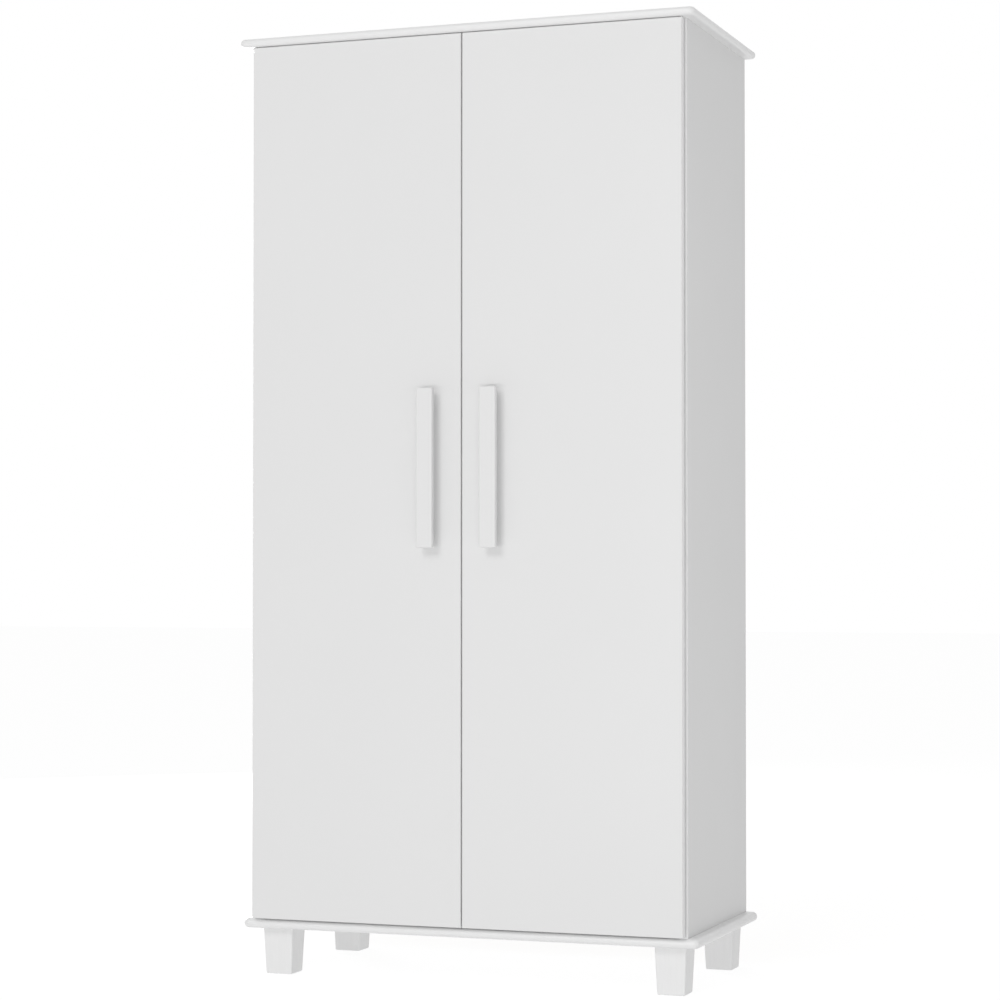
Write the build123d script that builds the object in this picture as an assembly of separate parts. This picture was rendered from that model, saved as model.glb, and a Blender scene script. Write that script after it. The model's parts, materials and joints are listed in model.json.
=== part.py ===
from build123d import *
import os
from math import hypot

# Tall two-door pantry cabinet on four tapered legs.
# Frame: millimetres, +Z up from the floor, doors facing -Y, X = 0 on the gap between the doors.

# Boards and case
BOARD = 15.0  # thickness of every laminated board but the base
BASE_THICK = 18.0
CASE_WIDTH = 856.0  # over the outer faces of the side panels
SIDE_HEIGHT = 1660.0
SIDE_DEPTH = 415.0
END_OVERHANG = 21.5  # top and base boards past each side panel
TOP_OVERHANG = 11.5  # top board past the front of the doors
BASE_OVERHANG = 6.5  # base board past the front edges of the side panels
ROUND_LAND = 0.2  # flat left in the middle of a rounded board edge
PLAN_CORNER = 12.0  # corner radius of top and base boards seen from above
BACK_THICK = 3.0
BACK_LAP = 9.0  # how far a back sheet covers the edge of the board that it is nailed to
BACK_INSET = 1.5  # back sheet inside the outer face of the side panel
BACK_JOINT = 1.0  # gap between the two back sheets

# Doors
DOOR_STANDOFF = 4.0  # closed door in front of the case
DOOR_REVEAL = 4.5  # side panel left showing beside the door
DOOR_MEETING_GAP = 2.5
DOOR_TOP_GAP = 1.0
DOOR_BOTTOM_GAP = 2.5
DOOR_EDGE_ROUND = 1.0

# Handles
HANDLE_WIDTH = 32.0
HANDLE_LENGTH = 296.0
HANDLE_THICK = 12.0
HANDLE_FINGER_GAP = 21.0
HANDLE_ROUND = 2.5
HANDLE_FROM_GAP = 44.75  # from the meeting edge of the door to the near edge of the bar
HANDLE_BOTTOM = 700.5  # above the lower edge of the door
POST_DIAMETER = 14.0
POST_SPACING = 256.0
HANDLE_SCREW = 4.0
HANDLE_SCREW_BITE = 14.0
HANDLE_SCREW_HEAD = 8.0
HANDLE_SCREW_HEAD_HEIGHT = 2.6

# Legs
LEG_HEIGHT = 89.0
LEG_TOP = 60.5
LEG_FOOT = 52.5
LEG_EDGE_ROUND = 3.0
LEG_FOOT_EASE = 1.5  # chamfer round the foot
LEG_FROM_END = 31.0  # base board end to the leg's upper outer face
LEG_FROM_FRONT = 28.0  # base board front to the front leg's upper front face
LEG_FROM_REAR = 1.0  # base board rear to the rear leg's upper rear face
LEG_BOLT = 8.0
LEG_BOLT_IN_LEG = 40.0
INSERT_DIAMETER = 12.0
INSERT_LENGTH = 12.0

# Shelves
LOOSE_PER_HALF = 2  # loose shelves above and below the fixed shelf
SHELF_END_GAP = 2.0
SHELF_FRONT_INSET = 26.0
SHELF_REAR_GAP = 1.0
SHELF_SEAT_GAP = 0.1
PIN_DIAMETER = 5.0
PIN_IN_BOARD = 9.0
PIN_NOSE = 9.0
PIN_COLLAR = 8.0
PIN_COLLAR_THICK = 1.5
PIN_INSET = 72.0  # pin row from the front and rear edges of the side panel
HOLE_PITCH = 32.0
SPARE_HOLES = 1  # spare pin holes above and below each loose shelf

# Knock-down fittings
CAM_DIAMETER = 15.0
CAM_LENGTH = 12.0
CAM_SETBACK = 34.0  # cam axis from the joint face
CAM_INSET = 48.0  # cam bolt from the front and rear edges of the joint
CAM_BOLT_THREAD = 7.0
CAM_BOLT_THREAD_LENGTH = 10.5
CAM_BOLT_SHANK = 5.0
CAM_BOLT_HEAD = 7.0
CAM_BOLT_HEAD_LENGTH = 3.0
CAM_BOLT_HOLE = 8.0
DOWEL_DIAMETER = 8.0
DOWEL_IN_END = 19.0
DOWEL_IN_FACE = 10.0
DOWEL_INSET = 104.0

# Concealed hinges: a gooseneck arm on the case turns on one pin in a cup sunk in the door
HINGE_END_INSET = 100.0  # end hinges from the door's upper and lower edges
HINGE_MIDDLE_DROP = 130.0  # middle hinge below the middle of the door
PIVOT_FROM_EDGE = 8.6  # pin axis from the hinge edge of the door
PIVOT_DEPTH = 9.0  # pin axis inside the back face of the door
HINGE_PIN = 3.0
HINGE_PIN_LENGTH = 22.0
CUP_FROM_EDGE = 20.5  # cup axis from the hinge edge of the door
CUP_DIAMETER = 35.0
CUP_DEPTH = 12.5
CUP_WALL = 1.0
CUP_FLOOR = 0.8
CUP_POCKET = 16.0  # width of the pocket that the gooseneck swings in
FLANGE_LIP = 0.7
FLANGE_THICK = 1.2
WING_LENGTH = 56.0
WING_WIDTH = 13.0
WING_OFFSET = 9.5
WING_CORNER = 5.0
CUP_SCREW_SPACING = 45.0
NECK_WIDTH = 10.0
NECK_THICK = 4.6
NECK_BEND = 5.0
NECK_CLEARANCE = 0.45  # between the gooseneck and the swinging corner of the door
ARM_START = 4.0  # channel of the arm behind the front edge of the side panel
ARM_LENGTH = 54.0
ARM_WIDTH = 16.0
ARM_SHEET = 1.5
ARM_CORNER = 6.0
STEM_IN_ARM = 8.0
PLATE_THICK = 3.0
PLATE_SCREW_SETBACK = 37.0  # plate screws behind the front edge of the side panel
PLATE_SCREW_SPACING = 32.0
PLATE_WING = 16.0
PLATE_WING_LENGTH = 48.0
PLATE_WING_CORNER = 6.0
RAIL_START = 18.0
RAIL_LENGTH = 34.0
RAIL_SIDE_GAP = 0.2
SEAT_GAP = 0.1
HINGE_SCREW = 3.5
HINGE_SCREW_LENGTH = 11.0
HINGE_SCREW_HEAD = 7.0
HINGE_SCREW_HEAD_HEIGHT = 1.8

# Clearances
FIT = 0.05  # on the radius of a fastener in its hole
END_FIT = 0.5  # past the end of a fastener in a blind hole

# Soft stops for the doors, on the front edge of the fixed shelf
STOP_DIAMETER = 10.0
STOP_SQUEEZE_GAP = 0.3
STOP_FROM_GAP = 30.0

# Places worked out from the sizes above
OVERALL_DEPTH = HANDLE_FINGER_GAP + HANDLE_THICK + BOARD + DOOR_STANDOFF + SIDE_DEPTH + BACK_THICK
CASE_REAR = OVERALL_DEPTH / 2 - BACK_THICK
CASE_FRONT = CASE_REAR - SIDE_DEPTH
DOOR_BACK = CASE_FRONT - DOOR_STANDOFF
DOOR_FRONT = DOOR_BACK - BOARD
TOP_FRONT = DOOR_FRONT - TOP_OVERHANG
BASE_FRONT = CASE_FRONT - BASE_OVERHANG
BOARD_HALF = CASE_WIDTH / 2 + END_OVERHANG
SIDE_OUTER = CASE_WIDTH / 2
SIDE_INNER = SIDE_OUTER - BOARD
SIDE_MIDDLE = SIDE_OUTER - BOARD / 2
BASE_TOP = LEG_HEIGHT + BASE_THICK
CASE_TOP = BASE_TOP + SIDE_HEIGHT
DOOR_BOTTOM = BASE_TOP + DOOR_BOTTOM_GAP
DOOR_TOP = CASE_TOP - DOOR_TOP_GAP
DOOR_INNER_EDGE = DOOR_MEETING_GAP / 2
DOOR_OUTER_EDGE = SIDE_OUTER - DOOR_REVEAL
FIXED_SHELF_BOTTOM = BASE_TOP + (SIDE_HEIGHT - BOARD) / 2
FIXED_SHELF_MIDDLE = FIXED_SHELF_BOTTOM + BOARD / 2
BAY = ((SIDE_HEIGHT - BOARD) / 2 - LOOSE_PER_HALF * BOARD) / (LOOSE_PER_HALF + 1)
HANDLE_Z = DOOR_BOTTOM + HANDLE_BOTTOM + HANDLE_LENGTH / 2
HANDLE_X = DOOR_INNER_EDGE + HANDLE_FROM_GAP + HANDLE_WIDTH / 2
LEG_X = BOARD_HALF - LEG_FROM_END - LEG_TOP / 2
LEG_FRONT_Y = BASE_FRONT + LEG_FROM_FRONT + LEG_TOP / 2
LEG_REAR_Y = CASE_REAR - LEG_FROM_REAR - LEG_TOP / 2

PIVOT_X = DOOR_OUTER_EDGE - PIVOT_FROM_EDGE
PIVOT_Y = DOOR_BACK - PIVOT_DEPTH
DOOR_MIDDLE = (DOOR_BOTTOM + DOOR_TOP) / 2
HINGE_HEIGHTS = (DOOR_BOTTOM + HINGE_END_INSET, DOOR_MIDDLE - HINGE_MIDDLE_DROP, DOOR_TOP - HINGE_END_INSET)

# Places in the frame of a hinge: origin on the pin, x from the side panel into the case, y to the front
PANEL_FACE = PIVOT_X - SIDE_INNER
CASE_EDGE = -PIVOT_DEPTH - DOOR_STANDOFF
CUP_AXIS = CUP_FROM_EDGE - PIVOT_FROM_EDGE
CUP_MOUTH = -PIVOT_DEPTH
CUP_SCREW_X = CUP_AXIS + WING_OFFSET
STEM_AXIS = hypot(PIVOT_FROM_EDGE, PIVOT_DEPTH) + NECK_CLEARANCE + NECK_THICK / 2
ARM_TOP = STEM_AXIS + NECK_THICK / 2
ARM_FRONT = CASE_EDGE - ARM_START
PLATE_TOP = PANEL_FACE + PLATE_THICK
PLATE_SCREW_Y = CASE_EDGE - PLATE_SCREW_SETBACK

FROM_START = (Align.CENTER, Align.CENTER, Align.MIN)
SIDES = {"left": -1, "right": 1}


def block(low, high):
    """Box between two opposite corners."""
    return Pos(*low) * Box(*(b - a for a, b in zip(low, high)), align=Align.MIN)


def rod(diameter, length, at, direction):
    """Round bar, or the tool that bores for it, from a point along a direction."""
    return Plane(origin=at, z_dir=direction) * Cylinder(diameter / 2, length, align=FROM_START)


def turned(steps, at, direction):
    """Turned piece of (diameter, length) steps laid end to end from a point along a direction."""
    outline = [(0, 0)]
    reach = 0
    for diameter, length in steps:
        outline.append((diameter / 2, reach))
        reach += length
        outline.append((diameter / 2, reach))
    outline.append((0, reach))
    half_section = make_face(Polyline(*outline, close=True))
    return Plane(origin=at, z_dir=direction) * revolve(Plane.XZ * half_section, Axis.Z)


def cut(piece, tools):
    """Piece with every tool taken out of it."""
    return piece - list(tools) if tools else piece


def cam_joint(joint):
    """Cam, bolt and bores at a joint plane: z into the board with the cam, x to its open face."""
    bolt = turned(
        [
            (CAM_BOLT_THREAD, CAM_BOLT_THREAD_LENGTH),
            (CAM_BOLT_SHANK, CAM_SETBACK - CAM_BOLT_HEAD_LENGTH / 2),
            (CAM_BOLT_HEAD, CAM_BOLT_HEAD_LENGTH),
        ],
        (0, 0, -CAM_BOLT_THREAD_LENGTH),
        (0, 0, 1),
    )
    cam_mouth = (BOARD / 2, 0, CAM_SETBACK)
    bolt_pocket = rod(CAM_BOLT_HOLE, CAM_SETBACK + CAM_BOLT_HEAD_LENGTH, (0, 0, 0), (0, 0, 1))
    cam = rod(CAM_DIAMETER, CAM_LENGTH, cam_mouth, (-1, 0, 0)) - bolt_pocket
    end_bores = [
        rod(CAM_DIAMETER + 2 * FIT, CAM_LENGTH + END_FIT, cam_mouth, (-1, 0, 0)),
        rod(CAM_BOLT_HOLE, CAM_SETBACK, (0, 0, 0), (0, 0, 1)),
    ]
    face_bore = rod(CAM_BOLT_THREAD + 2 * FIT, CAM_BOLT_THREAD_LENGTH + END_FIT, (0, 0, 0), (0, 0, -1))
    return joint * cam, joint * bolt, [joint * bore for bore in end_bores], [joint * face_bore]


def dowel_joint(joint):
    """Wooden dowel and its two bores at a joint plane: z into the board that meets it end on."""
    dowel = rod(DOWEL_DIAMETER, DOWEL_IN_FACE + DOWEL_IN_END, (0, 0, -DOWEL_IN_FACE), (0, 0, 1))
    end_bore = rod(DOWEL_DIAMETER + 2 * FIT, DOWEL_IN_END + END_FIT, (0, 0, 0), (0, 0, 1))
    face_bore = rod(DOWEL_DIAMETER + 2 * FIT, DOWEL_IN_FACE + END_FIT, (0, 0, 0), (0, 0, -1))
    return joint * dowel, [joint * end_bore], [joint * face_bore]


def wide_board(front, bottom, thick):
    """Top or base board: full round on the front and both ends, square at the rear."""
    plan = Pos(0, (front + CASE_REAR) / 2, bottom) * Rectangle(2 * BOARD_HALF, CASE_REAR - front)
    front_corners = plan.vertices().group_by(Axis.Y)[0]
    board = extrude(fillet(front_corners, PLAN_CORNER), thick)
    flat_faces = board.faces().filter_by(Axis.Z)
    rounded = [edge for edge in flat_faces.edges() if edge.center().Y < CASE_REAR - FIT]
    return fillet(rounded, (thick - ROUND_LAND) / 2)


def leg():
    """Square leg with softened corners that tapers to its foot, standing on the origin."""
    foot = RectangleRounded(LEG_FOOT, LEG_FOOT, LEG_EDGE_ROUND)
    head = Pos(0, 0, LEG_HEIGHT) * RectangleRounded(LEG_TOP, LEG_TOP, LEG_EDGE_ROUND)
    tapered = loft([foot, head], ruled=True)
    tapered = chamfer(tapered.faces().sort_by(Axis.Z)[0].edges(), LEG_FOOT_EASE)
    return tapered - rod(LEG_BOLT + 2 * FIT, LEG_BOLT_IN_LEG + END_FIT, (0, 0, LEG_HEIGHT), (0, 0, -1))


def handle(hand):
    """Flat bar on two round posts, one moulding, with a blind screw bore in each post."""
    bar_back = DOOR_FRONT - HANDLE_FINGER_GAP
    bar = Pos(hand * HANDLE_X, bar_back - HANDLE_THICK / 2, HANDLE_Z) * Box(
        HANDLE_WIDTH, HANDLE_THICK, HANDLE_LENGTH
    )
    bar = fillet(bar.edges(), HANDLE_ROUND)
    for x, z in handle_posts(hand):
        bar += rod(POST_DIAMETER, HANDLE_FINGER_GAP + HANDLE_ROUND, (x, DOOR_FRONT, z), (0, -1, 0))
    bores = [
        rod(HANDLE_SCREW + 2 * FIT, HANDLE_SCREW_BITE + END_FIT, (x, DOOR_FRONT, z), (0, -1, 0))
        for x, z in handle_posts(hand)
    ]
    return cut(bar, bores)


def handle_posts(hand):
    """Places of the two posts of a handle, as x and z."""
    return [(hand * HANDLE_X, HANDLE_Z + end * POST_SPACING / 2) for end in (-1, 1)]


def loose_shelf_bottoms():
    """Lower faces of the loose shelves, spaced evenly in the two halves of the case."""
    bottoms = []
    for half_floor in (BASE_TOP, FIXED_SHELF_BOTTOM + BOARD):
        for place in range(1, LOOSE_PER_HALF + 1):
            bottoms.append(half_floor + place * BAY + (place - 1) * BOARD)
    return bottoms


def hinge_frames(hand):
    """Frames of one door's hinges, each with its origin on the pin."""
    turn = Rot(0, 0, 180) if hand > 0 else Rot(180, 0, 0)
    return [Pos(hand * PIVOT_X, PIVOT_Y, height) * turn for height in HINGE_HEIGHTS]


def slab(low, high, width):
    """Block in a hinge frame between two corners of its side view, centred on the hinge."""
    return block((*low, -width / 2), (*high, width / 2))


def hinge_arm():
    """Pressed channel that ends in a gooseneck with an eye for the pin."""
    stem_end = ARM_FRONT - STEM_IN_ARM
    centre_line = FilletPolyline((0, 0), (STEM_AXIS, 0), (STEM_AXIS, stem_end), radius=NECK_BEND)
    gooseneck = trace(centre_line, NECK_THICK) + Circle(NECK_THICK / 2)
    neck = extrude(gooseneck, NECK_WIDTH / 2, both=True)
    arm_rear = ARM_FRONT - ARM_LENGTH
    channel = slab((PLATE_TOP + SEAT_GAP, arm_rear), (ARM_TOP, ARM_FRONT), ARM_WIDTH)
    upper_rear = channel.edges().filter_by(Axis.Z).sort_by(lambda edge: edge.center().X - edge.center().Y)[-1]
    channel = fillet(upper_rear, ARM_CORNER)
    hollow_width = ARM_WIDTH - 2 * ARM_SHEET
    hollow_low = (PANEL_FACE, arm_rear - ARM_SHEET)
    hollow_high = (ARM_TOP - ARM_SHEET, ARM_FRONT + ARM_SHEET)
    channel -= slab(hollow_low, hollow_high, hollow_width)
    pin_bore = rod(HINGE_PIN + 2 * FIT, NECK_WIDTH, (0, 0, -NECK_WIDTH / 2), (0, 0, 1))
    return channel + neck - pin_bore


def hinge_plate():
    """Mounting plate with two screw wings and the rail that the arm is clamped on."""
    foot = slab((PANEL_FACE, ARM_FRONT - ARM_LENGTH), (PLATE_TOP, ARM_FRONT), ARM_WIDTH)
    wing_plan = RectangleRounded(PLATE_WING, PLATE_WING_LENGTH, PLATE_WING_CORNER)
    wing_base = Plane(origin=(PANEL_FACE, PLATE_SCREW_Y, 0), x_dir=(0, 1, 0), z_dir=(1, 0, 0))
    wings = extrude(wing_base * wing_plan, PLATE_THICK)
    rail_front = ARM_FRONT - RAIL_START
    rail_width = ARM_WIDTH - 2 * (ARM_SHEET + RAIL_SIDE_GAP)
    rail_top = ARM_TOP - ARM_SHEET - SEAT_GAP
    rail = slab((PANEL_FACE, rail_front - RAIL_LENGTH), (rail_top, rail_front), rail_width)
    screw_holes = [rod(HINGE_SCREW + 2 * FIT, PLATE_THICK, at, (1, 0, 0)) for at in plate_holes()]
    return cut(foot + wings + rail, screw_holes)


def plate_holes():
    """Screw places of a mounting plate on the side panel's face."""
    return [(PANEL_FACE, PLATE_SCREW_Y, end * PLATE_SCREW_SPACING / 2) for end in (-1, 1)]


def plate_screws():
    """Screws of one mounting plate."""
    steps = [(HINGE_SCREW, HINGE_SCREW_LENGTH + PLATE_THICK), (HINGE_SCREW_HEAD, HINGE_SCREW_HEAD_HEIGHT)]
    return [turned(steps, (x - HINGE_SCREW_LENGTH, y, z), (1, 0, 0)) for x, y, z in plate_holes()]


def plate_screw_bores():
    """Pilot bores of one mounting plate in the side panel."""
    depth = HINGE_SCREW_LENGTH + END_FIT
    return [rod(HINGE_SCREW + 2 * FIT, depth, at, (-1, 0, 0)) for at in plate_holes()]


def hinge_cup():
    """Cup with a pocket for the gooseneck, bosses for the pin and a winged flange on the door's back."""
    outside = Plane(origin=(CUP_AXIS, CUP_MOUTH, 0), x_dir=(1, 0, 0), z_dir=(0, 1, 0))
    cup = extrude(outside * Circle(CUP_DIAMETER / 2), CUP_DEPTH)
    wing_plan = Pos(WING_OFFSET, 0) * RectangleRounded(WING_WIDTH, WING_LENGTH, WING_CORNER)
    flange_plan = Circle(CUP_DIAMETER / 2 + FLANGE_LIP) + wing_plan
    cup += extrude(outside * flange_plan, -FLANGE_THICK)
    pocket_plan = Circle(CUP_DIAMETER / 2 - CUP_WALL) & Rectangle(CUP_DIAMETER, CUP_POCKET)
    pocket_depth = FLANGE_THICK + CUP_DEPTH - CUP_FLOOR
    pocket = Pos(0, -FLANGE_THICK, 0) * extrude(outside * pocket_plan, pocket_depth)
    pin_bore = rod(HINGE_PIN + 2 * FIT, HINGE_PIN_LENGTH, (0, 0, -HINGE_PIN_LENGTH / 2), (0, 0, 1))
    flange_face = CUP_MOUTH - FLANGE_THICK
    screw_holes = [
        rod(HINGE_SCREW + 2 * FIT, FLANGE_THICK, (CUP_SCREW_X, flange_face, z), (0, 1, 0))
        for z in cup_holes()
    ]
    return cut(cup, [pocket, pin_bore, *screw_holes])


def cup_holes():
    """Heights of the two screws of a cup, about its middle."""
    return [end * CUP_SCREW_SPACING / 2 for end in (-1, 1)]


def cup_screws():
    """Screws of one cup."""
    steps = [(HINGE_SCREW_HEAD, HINGE_SCREW_HEAD_HEIGHT), (HINGE_SCREW, FLANGE_THICK + HINGE_SCREW_LENGTH)]
    head_face = CUP_MOUTH - FLANGE_THICK - HINGE_SCREW_HEAD_HEIGHT
    return [turned(steps, (CUP_SCREW_X, head_face, z), (0, 1, 0)) for z in cup_holes()]


def cup_bores():
    """Bores of one cup and its screws in the door's back."""
    depth = HINGE_SCREW_LENGTH + END_FIT
    bores = [rod(HINGE_SCREW + 2 * FIT, depth, (CUP_SCREW_X, CUP_MOUTH, z), (0, 1, 0)) for z in cup_holes()]
    bores.append(rod(CUP_DIAMETER + 2 * FIT, CUP_DEPTH + FIT, (CUP_AXIS, CUP_MOUTH, 0), (0, 1, 0)))
    return bores


def hinge_pin():
    """Pin that the gooseneck turns on."""
    return rod(HINGE_PIN, HINGE_PIN_LENGTH, (0, 0, -HINGE_PIN_LENGTH / 2), (0, 0, 1))


nodes = {}
bores = {name: [] for name in ("top_board", "base_board", "left_side", "right_side", "fixed_shelf")}
fittings = {name: [] for name in ("cam_locks", "cam_bolts", "dowels", "shelf_pins")}

# Joints of the case: both side panels to the top and base boards, and the fixed shelf to both side panels
for side, hand in SIDES.items():
    panel = f"{side}_side"
    inward = (-hand, 0, 0)
    meetings = [
        (panel, "base_board", (hand * SIDE_MIDDLE, BASE_TOP), (0, 0, 1), inward),
        (panel, "top_board", (hand * SIDE_MIDDLE, CASE_TOP), (0, 0, -1), inward),
        ("fixed_shelf", panel, (hand * SIDE_INNER, FIXED_SHELF_MIDDLE), inward, (0, 0, -1)),
    ]
    for end_board, face_board, (x, z), into_end, cam_face in meetings:
        for y in (CASE_FRONT + CAM_INSET, CASE_REAR - CAM_INSET):
            joint = Plane(origin=(x, y, z), x_dir=cam_face, z_dir=into_end)
            cam, bolt, end_bores, face_bores = cam_joint(joint)
            fittings["cam_locks"].append(cam)
            fittings["cam_bolts"].append(bolt)
            bores[end_board] += end_bores
            bores[face_board] += face_bores
        for y in (CASE_FRONT + DOWEL_INSET, CASE_REAR - DOWEL_INSET):
            joint = Plane(origin=(x, y, z), x_dir=cam_face, z_dir=into_end)
            dowel, end_bores, face_bores = dowel_joint(joint)
            fittings["dowels"].append(dowel)
            bores[end_board] += end_bores
            bores[face_board] += face_bores

# Loose shelves, their pins and the rows of pin holes
for number, bottom in enumerate(loose_shelf_bottoms(), start=1):
    shelf_half = SIDE_INNER - SHELF_END_GAP
    nodes[f"loose_shelf_{number}"] = block(
        (-shelf_half, CASE_FRONT + SHELF_FRONT_INSET, bottom),
        (shelf_half, CASE_REAR - SHELF_REAR_GAP, bottom + BOARD),
    )
    pin_height = bottom - SHELF_SEAT_GAP - PIN_DIAMETER / 2
    pin_steps = [(PIN_DIAMETER, PIN_IN_BOARD), (PIN_COLLAR, PIN_COLLAR_THICK), (PIN_DIAMETER, PIN_NOSE)]
    for side, hand in SIDES.items():
        for y in (CASE_FRONT + PIN_INSET, CASE_REAR - PIN_INSET):
            pin_start = (hand * (SIDE_INNER + PIN_IN_BOARD), y, pin_height)
            fittings["shelf_pins"].append(turned(pin_steps, pin_start, (-hand, 0, 0)))
            for row in range(-SPARE_HOLES, SPARE_HOLES + 1):
                mouth = (hand * SIDE_INNER, y, pin_height + row * HOLE_PITCH)
                hole = rod(PIN_DIAMETER + 2 * FIT, PIN_IN_BOARD + END_FIT, mouth, (hand, 0, 0))
                bores[f"{side}_side"].append(hole)

# Legs, with the bolt and insert that hold each one
leg_bolts = []
leg_inserts = []
for end, y in (("front", LEG_FRONT_Y), ("rear", LEG_REAR_Y)):
    for side, hand in SIDES.items():
        x = hand * LEG_X
        nodes[f"{end}_{side}_leg"] = Pos(x, y, 0) * leg()
        bolt_length = LEG_BOLT_IN_LEG + INSERT_LENGTH
        leg_bolts.append(rod(LEG_BOLT, bolt_length, (x, y, LEG_HEIGHT - LEG_BOLT_IN_LEG), (0, 0, 1)))
        insert_bore = rod(LEG_BOLT + 2 * FIT, INSERT_LENGTH, (x, y, LEG_HEIGHT), (0, 0, 1))
        leg_inserts.append(rod(INSERT_DIAMETER, INSERT_LENGTH, (x, y, LEG_HEIGHT), (0, 0, 1)) - insert_bore)
        insert_seat = rod(INSERT_DIAMETER + 2 * FIT, INSERT_LENGTH + END_FIT, (x, y, LEG_HEIGHT), (0, 0, 1))
        bores["base_board"].append(insert_seat)

# Doors, handles and hinges
for side, hand in SIDES.items():
    frames = hinge_frames(hand)
    door_edges = sorted((hand * DOOR_INNER_EDGE, hand * DOOR_OUTER_EDGE))
    door = block((door_edges[0], DOOR_FRONT, DOOR_BOTTOM), (door_edges[1], DOOR_BACK, DOOR_TOP))
    door = fillet(door.faces().sort_by(Axis.Y)[0].edges(), DOOR_EDGE_ROUND)
    screw_reach = BOARD + HANDLE_SCREW_BITE
    screw_steps = [(HANDLE_SCREW_HEAD, HANDLE_SCREW_HEAD_HEIGHT), (HANDLE_SCREW, screw_reach)]
    door_bores = [frame * bore for frame in frames for bore in cup_bores()]
    handle_screws = []
    for x, z in handle_posts(hand):
        door_bores.append(rod(HANDLE_SCREW + 2 * FIT, BOARD, (x, DOOR_BACK, z), (0, -1, 0)))
        handle_screws.append(turned(screw_steps, (x, DOOR_BACK + HANDLE_SCREW_HEAD_HEIGHT, z), (0, -1, 0)))
    nodes[f"{side}_door"] = cut(door, door_bores)
    nodes[f"{side}_handle"] = handle(hand)
    nodes[f"{side}_handle_screws"] = Compound(handle_screws)
    bores[f"{side}_side"] += [frame * bore for frame in frames for bore in plate_screw_bores()]
    nodes[f"{side}_hinge_arms"] = Compound([frame * hinge_arm() for frame in frames])
    nodes[f"{side}_hinge_plates"] = Compound([frame * hinge_plate() for frame in frames])
    nodes[f"{side}_hinge_plate_screws"] = Compound([frame * s for frame in frames for s in plate_screws()])
    nodes[f"{side}_hinge_cups"] = Compound([frame * hinge_cup() for frame in frames])
    nodes[f"{side}_hinge_cup_screws"] = Compound([frame * s for frame in frames for s in cup_screws()])
    nodes[f"{side}_hinge_pins"] = Compound([frame * hinge_pin() for frame in frames])

# Boards of the case
nodes["top_board"] = cut(wide_board(TOP_FRONT, CASE_TOP, BOARD), bores["top_board"])
nodes["base_board"] = cut(wide_board(BASE_FRONT, LEG_HEIGHT, BASE_THICK), bores["base_board"])
for side, hand in SIDES.items():
    faces = sorted((hand * SIDE_INNER, hand * SIDE_OUTER))
    panel = block((faces[0], CASE_FRONT, BASE_TOP), (faces[1], CASE_REAR, CASE_TOP))
    nodes[f"{side}_side"] = cut(panel, bores[f"{side}_side"])
shelf = block(
    (-SIDE_INNER, CASE_FRONT, FIXED_SHELF_BOTTOM),
    (SIDE_INNER, CASE_REAR, FIXED_SHELF_BOTTOM + BOARD),
)
nodes["fixed_shelf"] = cut(shelf, bores["fixed_shelf"])

# Back sheets, which meet on the rear edge of the fixed shelf
back_half = SIDE_OUTER - BACK_INSET
back_spans = {
    "lower_back": (BASE_TOP - BACK_LAP, FIXED_SHELF_MIDDLE - BACK_JOINT / 2),
    "upper_back": (FIXED_SHELF_MIDDLE + BACK_JOINT / 2, CASE_TOP + BACK_LAP),
}
for name, (bottom, top) in back_spans.items():
    nodes[name] = block((-back_half, CASE_REAR, bottom), (back_half, CASE_REAR + BACK_THICK, top))

# Soft stops
stop_height = DOOR_STANDOFF - STOP_SQUEEZE_GAP
stop_x = DOOR_INNER_EDGE + STOP_FROM_GAP
stop_seats = [(hand * stop_x, CASE_FRONT, FIXED_SHELF_MIDDLE) for hand in SIDES.values()]
nodes["door_stops"] = Compound([rod(STOP_DIAMETER, stop_height, seat, (0, -1, 0)) for seat in stop_seats])

for name, solids in fittings.items():
    nodes[name] = Compound(solids)
nodes["leg_bolts"] = Compound(leg_bolts)
nodes["leg_inserts"] = Compound(leg_inserts)

os.makedirs("parts", exist_ok=True)
for name, shape in nodes.items():
    export_step(shape, f"parts/{name}.step")
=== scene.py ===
import json
import math

import bmesh
import bpy
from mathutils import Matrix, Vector

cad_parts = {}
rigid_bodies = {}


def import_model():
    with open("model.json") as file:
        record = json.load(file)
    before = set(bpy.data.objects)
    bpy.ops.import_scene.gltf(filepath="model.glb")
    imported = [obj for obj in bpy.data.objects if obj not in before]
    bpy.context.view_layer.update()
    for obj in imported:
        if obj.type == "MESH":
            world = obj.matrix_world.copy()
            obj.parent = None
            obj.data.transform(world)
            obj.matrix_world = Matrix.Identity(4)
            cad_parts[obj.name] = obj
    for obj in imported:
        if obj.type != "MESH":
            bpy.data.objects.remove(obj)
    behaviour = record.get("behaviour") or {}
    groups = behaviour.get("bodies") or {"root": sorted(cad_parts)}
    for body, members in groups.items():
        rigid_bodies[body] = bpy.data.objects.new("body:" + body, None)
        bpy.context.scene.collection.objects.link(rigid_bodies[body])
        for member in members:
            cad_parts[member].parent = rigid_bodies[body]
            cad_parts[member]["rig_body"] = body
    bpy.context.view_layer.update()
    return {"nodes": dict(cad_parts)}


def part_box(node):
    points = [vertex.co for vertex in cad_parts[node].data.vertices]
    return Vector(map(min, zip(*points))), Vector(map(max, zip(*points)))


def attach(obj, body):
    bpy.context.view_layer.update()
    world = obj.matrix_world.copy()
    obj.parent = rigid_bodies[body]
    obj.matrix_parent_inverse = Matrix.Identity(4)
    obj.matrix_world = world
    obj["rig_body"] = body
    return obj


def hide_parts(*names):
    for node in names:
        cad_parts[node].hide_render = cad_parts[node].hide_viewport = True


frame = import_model()
NODES = frame["nodes"]

bl_info = {
    "name": "Pantry cabinet looks",
    "version": (1, 0, 0),
    "blender": (4, 5, 0),
    "location": "3D View > Sidebar > Pantry",
    "description": "Finishes, fasteners and stage of a tall two-door pantry cabinet",
    "category": "Object",
}

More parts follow.
